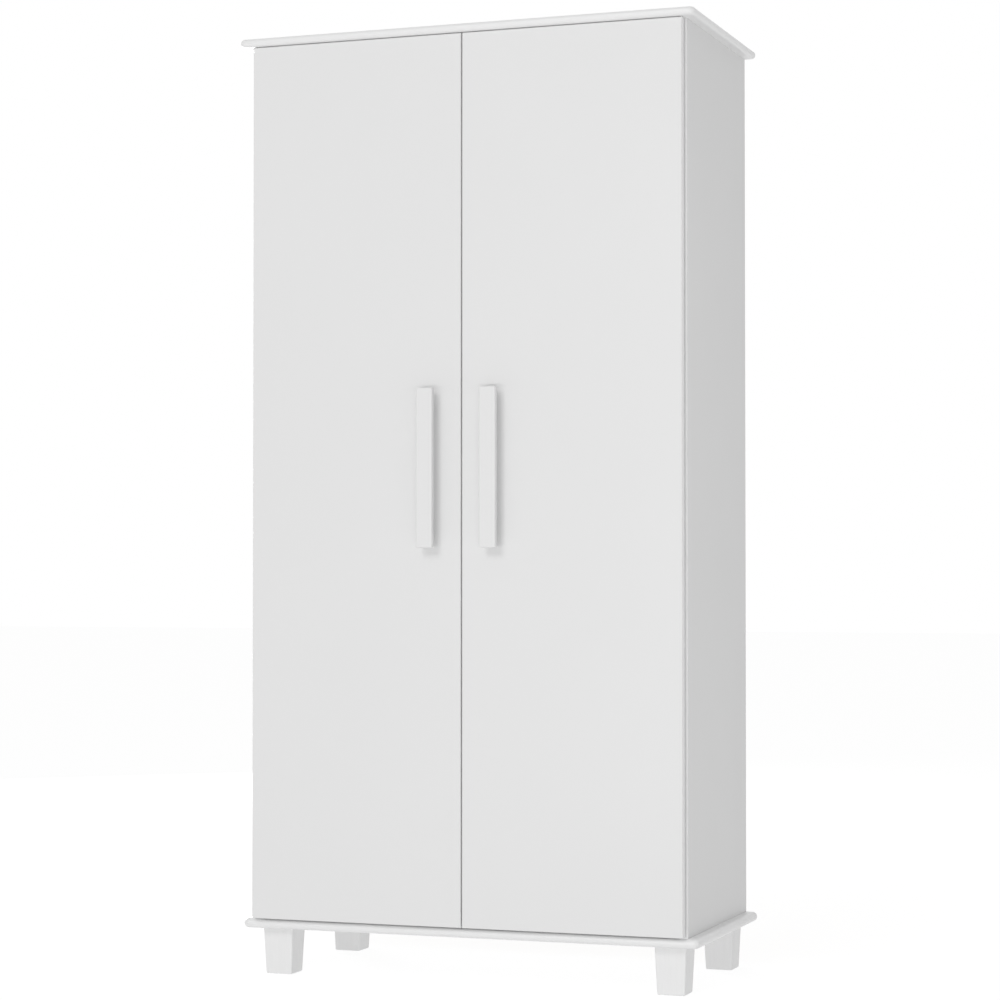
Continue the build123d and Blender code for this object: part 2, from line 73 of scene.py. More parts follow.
MM = 0.001
SIDES = {"left": -1, "right": 1}
CASE = "case"
UPWARDS, DOWNWARDS, REARWARDS = Vector((0, 0, 1)), Vector((0, 0, -1)), Vector((0, 1, 0))

# Socket numbers of the colour mix node
FACTOR, MIX_A, MIX_B, MIXED = 0, 6, 7, 2

# Kinds of node that many trees use; the coordinates' Object output is metres in the part's frame
COORDINATES, SEPARATE, COMBINE = "ShaderNodeTexCoord", "ShaderNodeSeparateXYZ", "ShaderNodeCombineXYZ"
MATH, VECTOR_MATH, MAP_RANGE = "ShaderNodeMath", "ShaderNodeVectorMath", "ShaderNodeMapRange"
NOISE, MIX, BUMP = "ShaderNodeTexNoise", "ShaderNodeMix", "ShaderNodeBump"
TRANSFORM, CYLINDER = "GeometryNodeTransform", "GeometryNodeMeshCylinder"

# Nodes by what they are made of
SHELVES = ["fixed_shelf", *(f"loose_shelf_{number}" for number in range(1, 5))]
MELAMINE_NODES = ["left_side", "right_side", "left_door", "right_door", *SHELVES]
LONG_GRAIN_NODES = ["top_board", "base_board"]
UPRIGHT_GRAIN_NODES = [f"{end}_{side}_leg" for end in ("front", "rear") for side in SIDES]
HARDBOARD_NODES = ["lower_back", "upper_back"]
HANDLE_NODES = [f"{side}_handle" for side in SIDES]
PRESSED_HINGE_PIECES = ("arms", "cups", "pins")
NICKEL_NODES = ["shelf_pins", *(f"{side}_hinge_{piece}" for side in SIDES for piece in PRESSED_HINGE_PIECES)]
CAST_NODES = [f"{side}_hinge_plates" for side in SIDES]
ZINC_NODES = ["cam_bolts", "leg_bolts", "leg_inserts"]

# The floor's reach to each side, and the soft boxes: place, aim, width and height, in metres
FLOOR_REACH = 30.0
CABINET_MIDDLE, RIGHT_SIDE_MIDDLE = Vector((0.0, 0.0, 0.95)), Vector((0.0, -0.35, 1.1))
SOFT_BOXES = {
    "key": (Vector((-0.8, -7.2, 4.4)), CABINET_MIDDLE, 2.8, 2.8),
    "low": (Vector((0.6, -5.0, 0.16)), CABINET_MIDDLE, 4.0, 0.28),
    "fill": (Vector((1.3, -0.35, 1.1)), RIGHT_SIDE_MIDDLE, 0.3, 2.0),
    "rear": (Vector((-3.4, 3.8, 1.1)), CABINET_MIDDLE, 2.0, 2.0),
}


def linear(colour):
    """An sRGB hex colour as linear red, green, blue and alpha."""
    channels = [int(colour[start : start + 2], 16) / 255 for start in (1, 3, 5)]
    return (*[c / 12.92 if c <= 0.04045 else ((c + 0.055) / 1.055) ** 2.4 for c in channels], 1.0)


def colour_property(name, description, colour):
    """A colour that a user can change."""
    return bpy.props.FloatVectorProperty(
        name=name, description=description, subtype="COLOR", size=4, min=0.0, max=1.0, default=linear(colour)
    )


def length_property(name, description, millimetres):
    """A length that a user can change."""
    return bpy.props.FloatProperty(
        name=name, description=description, unit="LENGTH", min=0.0, precision=4, default=millimetres * MM
    )


def share_property(name, description, share):
    """A share of another size that a user can change."""
    return bpy.props.FloatProperty(
        name=name, description=description, subtype="FACTOR", min=0.0, max=1.0, default=share
    )


def stage_property(name, description, value, unit="NONE"):
    """A number for the camera or the light that a user can change."""
    return bpy.props.FloatProperty(name=name, description=description, unit=unit, default=value)


class PantryColours(bpy.types.PropertyGroup):
    """Colours of the finishes."""

    melamine: colour_property("Melamine", "Faces of the laminated boards", "#E7E7E7")
    melamine_cloud: colour_property("Melamine cloud", "Faint darker clouds in the laminate", "#E5E5E5")
    edge_tape: colour_property("Edge tape", "Tape on the edges of the boards", "#F4F4F4")
    tape_seam: colour_property("Tape seam", "Glue line between tape and face", "#DBDBDA")
    chip_pale: colour_property("Pale chips", "Pale wood chips in a raw bore", "#C9AE82")
    chip_dark: colour_property("Dark chips", "Dark wood chips in a raw bore", "#8A6A43")
    board_lacquer: colour_property("Board lacquer", "White lacquer on the top and base boards", "#EDEDED")
    board_grain: colour_property("Board grain", "That lacquer where the grain shows through", "#EBEBEB")
    leg_lacquer: colour_property("Leg lacquer", "White lacquer on the legs", "#EDEDED")
    leg_grain: colour_property("Leg grain", "That lacquer where the grain shows through", "#EBEBEB")
    moulding: colour_property("Moulding", "Moulded handles", "#E6E6E6")
    moulding_flow: colour_property("Moulding flow", "Faint flow clouds in the handles", "#E5E5E5")
    hardboard: colour_property("Hardboard", "Raw rear face of the back sheets", "#8F6E4B")
    hardboard_fibre: colour_property("Hardboard fibre", "Dark fibres in the raw face", "#6E5236")
    nickel: colour_property("Nickel", "Plating of hinges and shelf pins", "#C8C5BF")
    zinc: colour_property("Zinc", "Plating of screws, bolts, inserts and nails", "#BFC3C7")
    casting: colour_property("Zinc casting", "Cast cam locks and hinge plates", "#A8AAAC")
    rubber: colour_property("Rubber", "Door stops, milky in the mass", "#DCDDD8")
    beech: colour_property("Beech", "Wooden dowels", "#D3AE7C")
    beech_fleck: colour_property("Beech fleck", "Dark flecks in the dowels", "#B68A58")


class PantryFasteners(bpy.types.PropertyGroup):
    """Sizes of the small fasteners, apart from those that the frame gives."""

    recess_width: length_property("Recess width", "Width of a cross recess", 1.1)
    recess_share: share_property("Recess share", "Length of a cross recess, in diameters of the head", 0.58)
    shank_share: share_property("Shank share", "Diameter of a screw's shank, in diameters of its head", 0.5)
    hinge_head_height: length_property("Hinge screw head", "Height of a hinge screw's head", 1.8)
    handle_head_height: length_property("Handle screw head", "Height of a handle screw's head", 2.6)
    adjuster: length_property("Adjuster", "Diameter of the adjusting screws on a hinge arm", 6.5)
    adjuster_height: length_property("Adjuster height", "Height of an adjusting screw's head", 1.2)
    adjuster_length: length_property("Adjuster length", "Length of an adjusting screw's shank", 5.0)
    rear_adjuster: length_property("Rear adjuster", "Rear adjusting screw from the arm's rear end", 14.0)
    front_adjuster: length_property("Front adjuster", "Front adjusting screw from the arm's rear end", 40.0)
    cam_slot: length_property("Cam slot", "Width of the cross slot in a cam lock", 1.9)
    cam_slot_share: share_property("Cam slot share", "Length of that slot, in diameters of the cam", 0.62)
    cam_slot_depth: length_property("Cam slot depth", "Depth of the cross slot in a cam lock", 3.0)
    cam_pocket: length_property("Cam pocket", "Diameter of the pocket for the bolt's head", 8.0)
    cam_pocket_depth: length_property("Cam pocket depth", "Axis of that pocket below the cam's face", 7.5)
    nail_spacing: length_property("Nail spacing", "Distance between two nails of a back sheet", 92.0)
    nail_head: length_property("Nail head", "Diameter of a nail's head at the sheet", 5.0)
    nail_crown: length_property("Nail crown", "Diameter of a nail's head at its top", 3.6)
    nail_proud: length_property("Nail proud", "Height of a nail's head above the sheet", 0.3)
    nail_shank: length_property("Nail shank", "Diameter of a nail", 1.4)
    nail_length: length_property("Nail length", "Length of a nail", 18.0)
    nail_wander: length_property("Nail wander", "How far a nail strays from its line", 1.2)
    nail_seed: bpy.props.IntProperty(name="Nail seed", description="Seed of the strays", default=7)
    stop_wall: share_property("Stop wall", "Straight wall of a door stop, in heights of the stop", 0.35)


class PantryStage(bpy.types.PropertyGroup):
    """Camera and light."""

    camera_place: bpy.props.FloatVectorProperty(
        name="Camera",
        description="Place of the camera",
        subtype="TRANSLATION",
        default=(1.7206, -4.7721, 0.759),
    )
    camera_turn: stage_property("Turn", "Camera turned to the left", math.radians(19.792), "ROTATION")
    camera_tilt: stage_property("Tilt", "Camera tilted up", math.radians(1.204), "ROTATION")
    camera_lens: stage_property("Lens", "Focal length on a 36 mm sensor", 95.14, "CAMERA")
    camera_shift: stage_property("Rise", "Upward shift of the lens, as a share of the picture", 0.02)
    sky: stage_property("Room light", "Even light from all round", 0.3)
    overhead: stage_property("Overhead light", "Light from straight above, fading towards the walls", 0.55)
    floor_light: stage_property("Floor light", "Light that the white floor throws up on the cabinet", 0.59)
    floor_white: stage_property("Floor white", "White of the floor before light and shadow fall on it", 0.87)
    floor_paint: colour_property("Floor paint", "Grey under that white, for light and shadow", "#7C7C7C")
    key: stage_property("Key light", "Soft box high in front", 120.0, "POWER")
    low: stage_property("Low light", "Long soft box near the floor in front", 50.0, "POWER")
    fill: stage_property("Fill light", "Upright soft box close to the right side", 1.1, "POWER")
    rear: stage_property("Rear light", "Soft box behind the cabinet, on the left", 90.0, "POWER")


# Node trees


def add(tree, kind, inputs=None, **settings):
    """A new node: settings are its properties, and inputs maps a socket to its value or to what feeds it."""
    made = tree.nodes.new(kind)
    for name, value in settings.items():
        setattr(made, name, value)
    for key, value in (inputs or {}).items():
        feeds = value if isinstance(value, list) else [value]
        for feed in feeds:
            if isinstance(feed, bpy.types.NodeSocket):
                tree.links.new(feed, made.inputs[key])
            else:
                made.inputs[key].default_value = feed
    return made


def new_material(name):
    """A material and its empty tree."""
    material = bpy.data.materials.new(name)
    material.use_nodes = True
    material.node_tree.nodes.clear()
    return material, material.node_tree


def end_material(tree, finish):
    """Ends a material's tree in a shader with these inputs."""
    shader = add(tree, "ShaderNodeBsdfPrincipled", finish)
    add(tree, "ShaderNodeOutputMaterial", {"Surface": shader.outputs[0]})


def paint(names, material):
    """Gives CAD nodes a material."""
    for name in names:
        for slot in NODES[name].material_slots:
            slot.material = material


# Materials


def melamine_faced_chipboard(node, colours):
    """Melamine-faced chipboard: flat satin white, with tape on the edges and raw chips in the bores.

    To the eye it is even and slightly soft in its gloss, with a hair line where the edge tape is glued on.
    """
    # The seam is 0.2 mm wide, and drawn 0.8 mm wide so that it shows
    paper, bore_depth, seam_middle, seam_half = 0.4 * MM, 0.8 * MM, 0.7 * MM, 0.4 * MM
    # Clouds in the printed paper, pearl grain in the pressed surface, chips in the bores
    cloud_width, pearl_width, pearl_height, chip_width = 300 * MM, 1 * MM, 0.03 * MM, 2 * MM
    low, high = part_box(node)
    centre, half = (low + high) / 2, (high - low) / 2
    thin = min(range(3), key=lambda axis: half[axis])
    material, tree = new_material(f"melamine_faced_chipboard_{node}")
    place = add(tree, COORDINATES).outputs["Object"]

    # How far a point lies inside the board's faces and inside its edges
    offset = add(tree, VECTOR_MATH, {0: place, 1: centre}, operation="SUBTRACT").outputs[0]
    reach = add(tree, VECTOR_MATH, {0: offset}, operation="ABSOLUTE").outputs[0]
    inside = add(tree, VECTOR_MATH, {0: half, 1: reach}, operation="SUBTRACT").outputs[0]
    depths = add(tree, SEPARATE, {0: inside}).outputs
    in_face = depths[thin]
    first, second = [depths[axis] for axis in range(3) if axis != thin]
    in_edge = add(tree, MATH, {0: first, 1: second}, operation="MINIMUM").outputs[0]
    in_both = add(tree, MATH, {0: in_edge, 1: in_face}, operation="MINIMUM").outputs[0]

    # Tape covers the edges between the papers, and a bore is whatever lies deeper
    taped = add(tree, MATH, {0: in_face, 1: paper}, operation="GREATER_THAN").outputs[0]
    bored = add(tree, MATH, {0: in_both, 1: bore_depth}, operation="GREATER_THAN").outputs[0]
    near_seam = {0: in_edge, 1: seam_middle, 2: seam_half}
    at_seam = add(tree, MATH, near_seam, operation="COMPARE").outputs[0]
    on_face = add(tree, MATH, {0: 1.0, 1: taped}, operation="SUBTRACT").outputs[0]
    seam = add(tree, MATH, {0: at_seam, 1: on_face}, operation="MULTIPLY").outputs[0]

    cloud = add(tree, NOISE, {"Vector": place, "Scale": 1 / cloud_width, "Detail": 2.0}).outputs[0]
    pearl = add(tree, NOISE, {"Vector": place, "Scale": 1 / pearl_width, "Detail": 1.0}).outputs[0]
    chips = add(tree, "ShaderNodeTexVoronoi", {"Vector": place, "Scale": 1 / chip_width}).outputs["Color"]
    chip_colours = {FACTOR: chips, MIX_A: colours.chip_pale, MIX_B: colours.chip_dark}
    raw = add(tree, MIX, chip_colours, data_type="RGBA").outputs[MIXED]
    colour = colours.melamine
    layers = (
        (cloud, colours.melamine_cloud),
        (taped, colours.edge_tape),
        (seam, colours.tape_seam),
        (bored, raw),
    )
    for share, layer in layers:
        colour = add(tree, MIX, {FACTOR: share, MIX_A: colour, MIX_B: layer}, data_type="RGBA").outputs[MIXED]
    gloss = add(tree, MAP_RANGE, {"Value": cloud, "To Min": 0.4, "To Max": 0.5}).outputs[0]
    relief = add(tree, BUMP, {"Strength": 0.2, "Distance": pearl_height, "Height": pearl}).outputs[0]
    end_material(tree, {"Base Color": colour, "Roughness": gloss, "Normal": relief, "IOR": 1.5})
    return material


def lacquered_wood(name, grain_axis, lacquer, over_grain):
    """Planed wood under sprayed white lacquer: a little brighter and glossier than the laminate.

    The grain telegraphs through as faint long streaks, and the lacquer rounds them off.
    """
    # Grain streaks in the wood, and the orange peel of the film
    streak_width, streak_length, peel_width, peel_height = 5 * MM, 110 * MM, 3 * MM, 0.03 * MM
    material, tree = new_material(name)
    place = add(tree, COORDINATES).outputs["Object"]
    streaks = [1 / streak_width] * 3
    streaks[grain_axis] = 1 / streak_length
    along = add(tree, "ShaderNodeMapping", {"Vector": place, "Scale": tuple(streaks)}).outputs[0]
    figure = {"Vector": along, "Scale": 1.0, "Detail": 4.0, "Roughness": 0.6, "Distortion": 0.4}
    grain = add(tree, NOISE, figure).outputs[0]
    peel = add(tree, NOISE, {"Vector": place, "Scale": 1 / peel_width, "Detail": 1.0}).outputs[0]
    shown = add(tree, MAP_RANGE, {"Value": grain, "From Min": 0.42, "From Max": 0.68}).outputs[0]
    coats = {FACTOR: shown, MIX_A: lacquer, MIX_B: over_grain}
    colour = add(tree, MIX, coats, data_type="RGBA").outputs[MIXED]
    gloss = add(tree, MAP_RANGE, {"Value": grain, "To Min": 0.3, "To Max": 0.42}).outputs[0]
    grained = add(tree, BUMP, {"Strength": 0.06, "Distance": peel_height, "Height": grain}).outputs[0]
    sprayed = {"Strength": 0.2, "Distance": peel_height, "Height": peel, "Normal": grained}
    film = add(tree, BUMP, sprayed).outputs[0]
    finish = {"Base Color": colour, "Roughness": gloss, "Normal": film, "IOR": 1.5}
    end_material(tree, {**finish, "Coat Weight": 0.15, "Coat Roughness": 0.2})
    return material


def moulded_abs(colours):
    """Injection-moulded white ABS: even colour with the fine matt spark grain of the mould."""
    # Spark grain from the mould, and flow clouds from the melt
    spark_width, spark_height, flow_width = 0.6 * MM, 0.03 * MM, 60 * MM
    material, tree = new_material("moulded_abs")
    place = add(tree, COORDINATES).outputs["Object"]
    spark = add(tree, NOISE, {"Vector": place, "Scale": 1 / spark_width, "Detail": 2.0}).outputs[0]
    flow = add(tree, NOISE, {"Vector": place, "Scale": 1 / flow_width, "Detail": 2.0}).outputs[0]
    melt = {FACTOR: flow, MIX_A: colours.moulding, MIX_B: colours.moulding_flow}
    colour = add(tree, MIX, melt, data_type="RGBA").outputs[MIXED]
    gloss = add(tree, MAP_RANGE, {"Value": spark, "To Min": 0.36, "To Max": 0.5}).outputs[0]
    relief = add(tree, BUMP, {"Strength": 0.25, "Distance": spark_height, "Height": spark}).outputs[0]
    end_material(tree, {"Base Color": colour, "Roughness": gloss, "Normal": relief, "IOR": 1.53})
    return material


def screen_backed_hardboard(node, colours):
    """Hardboard with one coated face: white and smooth inside, raw brown fibre with a screen print behind."""
    # Screen wires lie 1.6 mm apart, and are drawn 5 mm apart so that they show
    coat, wire_spacing, print_depth = 0.3 * MM, 5 * MM, 0.2 * MM
    fibre_length, blotch_width = 7 * MM, 160 * MM
    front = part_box(node)[0].y
    material, tree = new_material(f"screen_backed_hardboard_{node}")
    place = add(tree, COORDINATES).outputs["Object"]
    parts = add(tree, SEPARATE, {0: place}).outputs
    raw = add(tree, MATH, {0: parts["Y"], 1: front + coat}, operation="GREATER_THAN").outputs[0]

    waves = []
    for across in (parts["X"], parts["Z"]):
        turn = {0: across, 1: 2 * math.pi / wire_spacing}
        phase = add(tree, MATH, turn, operation="MULTIPLY").outputs[0]
        waves.append(add(tree, MATH, {0: phase}, operation="SINE").outputs[0])
    screen = add(tree, MATH, {0: waves[0], 1: waves[1]}, operation="MULTIPLY").outputs[0]
    printed = add(tree, MATH, {0: screen, 1: raw}, operation="MULTIPLY").outputs[0]
    felt = {"Vector": place, "Scale": 1 / fibre_length, "Detail": 6.0, "Roughness": 0.7, "Distortion": 1.2}
    fibre = add(tree, NOISE, felt).outputs[0]
    blotch = add(tree, NOISE, {"Vector": place, "Scale": 1 / blotch_width, "Detail": 3.0}).outputs[0]
    calmed = add(tree, MAP_RANGE, {"Value": blotch, "To Min": 0.4, "To Max": 0.6}).outputs[0]
    tone = add(tree, MATH, {0: fibre, 1: calmed}, operation="MULTIPLY").outputs[0]
    spread = add(tree, MAP_RANGE, {"Value": tone, "From Min": 0.12, "From Max": 0.42}).outputs[0]
    browns = {FACTOR: spread, MIX_A: colours.hardboard, MIX_B: colours.hardboard_fibre}
    brown = add(tree, MIX, browns, data_type="RGBA").outputs[MIXED]
    faces = {FACTOR: raw, MIX_A: colours.melamine, MIX_B: brown}
    colour = add(tree, MIX, faces, data_type="RGBA").outputs[MIXED]
    gloss = add(tree, MAP_RANGE, {"Value": raw, "To Min": 0.45, "To Max": 0.8}).outputs[0]
    relief = add(tree, BUMP, {"Strength": 0.4, "Distance": print_depth, "Height": printed}).outputs[0]
    end_material(tree, {"Base Color": colour, "Roughness": gloss, "Normal": relief, "IOR": 1.5})
    return material


def metal(name, colour, dull, bright, grain, height):
    """A metal with a worked surface: tint, gloss and relief vary over a grain of this width and height."""
    material, tree = new_material(name)
    place = add(tree, COORDINATES).outputs["Object"]
    worked = add(tree, NOISE, {"Vector": place, "Scale": 1 / grain, "Detail": 3.0}).outputs[0]
    tint = add(tree, MAP_RANGE, {"Value": worked, "To Min": 0.86, "To Max": 1.0}).outputs[0]
    tinted = {FACTOR: 1.0, MIX_A: colour, MIX_B: tint}
    shaded = add(tree, MIX, tinted, data_type="RGBA", blend_type="MULTIPLY").outputs[MIXED]
    gloss = add(tree, MAP_RANGE, {"Value": worked, "To Min": bright, "To Max": dull}).outputs[0]
    relief = add(tree, BUMP, {"Strength": 0.3, "Distance": height, "Height": worked}).outputs[0]
    end_material(tree, {"Base Color": shaded, "Roughness": gloss, "Normal": relief, "Metallic": 1.0})
    return material


def nickel_plated_steel(colours):
    """Pressed steel under bright nickel: warm silver, smooth, with a slight waviness from the press."""
    grain, height = 4.0 * MM, 0.02 * MM
    return metal("nickel_plated_steel", colours.nickel, dull=0.36, bright=0.22, grain=grain, height=height)


def zinc_plated_steel(colours):
    """Rolled and barrel-plated steel: cool silver with cloudy gloss."""
    grain, height = 2.5 * MM, 0.02 * MM
    return metal("zinc_plated_steel", colours.zinc, dull=0.45, bright=0.28, grain=grain, height=height)


def zinc_casting(colours):
    """Die-cast zinc: grey, satin, with the fine grain of the die."""
    grain, height = 0.8 * MM, 0.04 * MM
    return metal("zinc_casting", colours.casting, dull=0.6, bright=0.45, grain=grain, height=height)


def clear_rubber(colours):
    """Cast polyurethane: clear when thin, milky in a stop of this size, with a nearly polished skin."""
    skin_width = 1.5 * MM
    material, tree = new_material("clear_rubber")
    place = add(tree, COORDINATES).outputs["Object"]
    skin = add(tree, NOISE, {"Vector": place, "Scale": 1 / skin_width, "Detail": 2.0}).outputs[0]
    gloss = add(tree, MAP_RANGE, {"Value": skin, "To Min": 0.12, "To Max": 0.25}).outputs[0]
    finish = {"Base Color": colours.rubber, "Roughness": gloss, "IOR": 1.48, "Transmission Weight": 0.15}
    end_material(tree, finish)
    return material


def turned_beech(colours):
    """Turned beech: pale tan with short dark flecks."""
    fleck_width = 0.8 * MM
    material, tree = new_material("turned_beech")
    place = add(tree, COORDINATES).outputs["Object"]
    fleck = add(tree, NOISE, {"Vector": place, "Scale": 1 / fleck_width, "Detail": 3.0}).outputs[0]
    shown = add(tree, MAP_RANGE, {"Value": fleck, "From Min": 0.45, "From Max": 0.7}).outputs[0]
    flecks = {FACTOR: shown, MIX_A: colours.beech, MIX_B: colours.beech_fleck}
    colour = add(tree, MIX, flecks, data_type="RGBA").outputs[MIXED]
    end_material(tree, {"Base Color": colour, "Roughness": 0.6, "IOR": 1.5})
    return material


# Pieces made with Geometry Nodes


def solid_boxes(node):
    """Lowest and highest corner of every separate solid in a CAD node."""
    same_point = 0.001 * MM
    copy = bmesh.new()
    copy.from_mesh(NODES[node].data)
    bmesh.ops.remove_doubles(copy, verts=copy.verts, dist=same_point)
    waiting = set(copy.verts)
    boxes = []
    while waiting:
        solid = set()
        frontier = [waiting.pop()]
        while frontier:
            vertex = frontier.pop()
            solid.add(vertex)
            for edge in vertex.link_edges:
                other = edge.other_vert(vertex)
                if other in waiting:
                    waiting.discard(other)
                    frontier.append(other)
        low = Vector(min(vertex.co[axis] for vertex in solid) for axis in range(3))
        high = Vector(max(vertex.co[axis] for vertex in solid) for axis in range(3))
        boxes.append((low, high))
    copy.free()
    return sorted(boxes, key=lambda box: tuple(round(value, 4) for value in box[0]))


def outer_point(box, facing):
    """Middle of the side of a box that faces a direction."""
    low, high = box
    middle, half = (low + high) / 2, (high - low) / 2
    return Vector(middle[axis] + facing[axis] * half[axis] for axis in range(3))


def piece_tree(name, sizes):
    """An empty Geometry Nodes tree with a geometry, named sizes and a material going in."""
    tree = bpy.data.node_groups.new(name, "GeometryNodeTree")
    tree.interface.new_socket("Geometry", in_out="INPUT", socket_type="NodeSocketGeometry")
    for size in sizes:
        tree.interface.new_socket(size, in_out="INPUT", socket_type="NodeSocketFloat")
    tree.interface.new_socket("Material", in_out="INPUT", socket_type="NodeSocketMaterial")
    tree.interface.new_socket("Geometry", in_out="OUTPUT", socket_type="NodeSocketGeometry")
    return tree, add(tree, "NodeGroupInput").outputs


def end_tree(tree, given, points, piece, rotation):
    """Sets a piece on every point, makes the copies real and gives them the material."""
    seats = {"Points": points, "Instance": piece, "Rotation": rotation}
    copies = add(tree, "GeometryNodeInstanceOnPoints", seats).outputs[0]
    real = add(tree, "GeometryNodeRealizeInstances", {"Geometry": copies}).outputs[0]
    finish = {"Geometry": real, "Material": given["Material"]}
    finished = add(tree, "GeometryNodeSetMaterial", finish).outputs[0]
    add(tree, "NodeGroupOutput", {"Geometry": finished})


def block_in_tree(tree, size, middle):
    """A box in a tree, with sockets or numbers for its size and its middle."""
    extent = add(tree, COMBINE, dict(enumerate(size))).outputs[0]
    place = add(tree, COMBINE, dict(enumerate(middle))).outputs[0]
    box = add(tree, "GeometryNodeMeshCube", {"Size": extent}).outputs[0]
    return add(tree, TRANSFORM, {"Geometry": box, "Translation": place}).outputs[0]


def hung_rod(tree, radius, length, sides):
    """A round rod in a tree that hangs down from the origin."""
    rod = add(tree, CYLINDER, {"Vertices": sides, "Radius": radius, "Depth": length}).outputs[0]
    drop = add(tree, MATH, {0: length, 1: -0.5}, operation="MULTIPLY").outputs[0]
    place = add(tree, COMBINE, {2: drop}).outputs[0]
    return add(tree, TRANSFORM, {"Geometry": rod, "Translation": place}).outputs[0]


def cut_in_tree(tree, body, cutters):
    """A body in a tree without what the cutters take away."""
    meshes = {"Mesh 1": body, "Mesh 2": cutters, "Self Intersection": True}
    settings = {"operation": "DIFFERENCE", "solver": "EXACT"}
    return add(tree, "GeometryNodeMeshBoolean", meshes, **settings).outputs[0]


def facing_rotation(tree):
    """Turn that points a piece's Z along its facing and its X along its towards attribute."""
    facing, towards = [
        add(tree, "GeometryNodeInputNamedAttribute", {"Name": name}, data_type="FLOAT_VECTOR").outputs[0]
        for name in ("facing", "towards")
    ]
    axes = {"Primary Axis": facing, "Secondary Axis": towards}
    return add(tree, "FunctionNodeAxesToRotation", axes, primary_axis="Z", secondary_axis="X").outputs[0]


def screw_tree():
    """Pan-head screws with a cross recess, seated on their points."""
    head_segments, head_rings, shank_sides = 28, 16, 16
    # A block takes off the ball's lower half, and the recess goes through most of the head
    block_width, block_height, recess_height = 3.0, 2.0, 1.7
    sizes = ["Head Radius", "Head Height", "Recess Length", "Recess Width", "Shank Radius", "Shank Length"]
    tree, given = piece_tree("pan_head_screws", sizes)
    radius, height = given["Head Radius"], given["Head Height"]
    long, narrow = given["Recess Length"], given["Recess Width"]
    round_ball = {"Segments": head_segments, "Rings": head_rings, "Radius": 1.0}
    ball = add(tree, "GeometryNodeMeshUVSphere", round_ball).outputs[0]
    dome = add(tree, COMBINE, {0: radius, 1: radius, 2: height}).outputs[0]
    head = add(tree, TRANSFORM, {"Geometry": ball, "Scale": dome}).outputs[0]
    wide = add(tree, MATH, {0: radius, 1: block_width}, operation="MULTIPLY").outputs[0]
    deep = add(tree, MATH, {0: height, 1: block_height}, operation="MULTIPLY").outputs[0]
    below = add(tree, MATH, {0: height, 1: -block_height / 2}, operation="MULTIPLY").outputs[0]
    recess = add(tree, MATH, {0: height, 1: recess_height}, operation="MULTIPLY").outputs[0]
    cutters = [
        block_in_tree(tree, (wide, wide, deep), (0.0, 0.0, below)),
        block_in_tree(tree, (long, narrow, recess), (0.0, 0.0, height)),
        block_in_tree(tree, (narrow, long, recess), (0.0, 0.0, height)),
    ]
    shank = hung_rod(tree, given["Shank Radius"], given["Shank Length"], shank_sides)
    pieces = [cut_in_tree(tree, head, cutters), shank]
    screw = add(tree, "GeometryNodeJoinGeometry", {"Geometry": pieces}).outputs[0]
    end_tree(tree, given, given["Geometry"], screw, facing_rotation(tree))
    return tree


def cam_tree():
    """Cam locks with a cross slot, a setting mark and the pocket for the bolt's head."""
    barrel_sides, mark_sides, pocket_sides = 48, 3, 24
    # In radii of the cam: size and place of the mark, and length of the pocket's cutter
    mark_size, mark_place, pocket_length = 0.2, 0.74, 2.8
    sizes = ["Radius", "Length", "Slot Length", "Slot Width", "Slot Depth", "Pocket Radius", "Pocket Depth"]
    tree, given = piece_tree("cam_locks", sizes)
    radius, narrow, long = given["Radius"], given["Slot Width"], given["Slot Length"]
    barrel = hung_rod(tree, radius, given["Length"], barrel_sides)
    slot_height = add(tree, MATH, {0: given["Slot Depth"], 1: 2.0}, operation="MULTIPLY").outputs[0]

    # The mark is a small triangle near the rim, on the side of the bolt
    mark_radius = add(tree, MATH, {0: radius, 1: mark_size}, operation="MULTIPLY").outputs[0]
    mark_reach = add(tree, MATH, {0: radius, 1: mark_place}, operation="MULTIPLY").outputs[0]
    at_rim = add(tree, COMBINE, {0: mark_reach}).outputs[0]
    wedge = add(tree, CYLINDER, {"Vertices": mark_sides, "Radius": mark_radius, "Depth": narrow}).outputs[0]
    mark = add(tree, TRANSFORM, {"Geometry": wedge, "Translation": at_rim}).outputs[0]

    # The pocket opens towards the bolt
    drop = add(tree, MATH, {0: given["Pocket Depth"], 1: -1.0}, operation="MULTIPLY").outputs[0]
    at_bolt = add(tree, COMBINE, {0: radius, 2: drop}).outputs[0]
    reach = add(tree, MATH, {0: radius, 1: pocket_length}, operation="MULTIPLY").outputs[0]
    bore = {"Vertices": pocket_sides, "Radius": given["Pocket Radius"], "Depth": reach}
    rod = add(tree, CYLINDER, bore).outputs[0]
    lying = {"Geometry": rod, "Translation": at_bolt, "Rotation": (0.0, math.pi / 2, 0.0)}
    pocket = add(tree, TRANSFORM, lying).outputs[0]

    cutters = [
        block_in_tree(tree, (long, narrow, slot_height), (0.0, 0.0, 0.0)),
        block_in_tree(tree, (narrow, long, slot_height), (0.0, 0.0, 0.0)),
        mark,
        pocket,
    ]
    cam = cut_in_tree(tree, barrel, cutters)
    end_tree(tree, given, given["Geometry"], cam, facing_rotation(tree))
    return tree


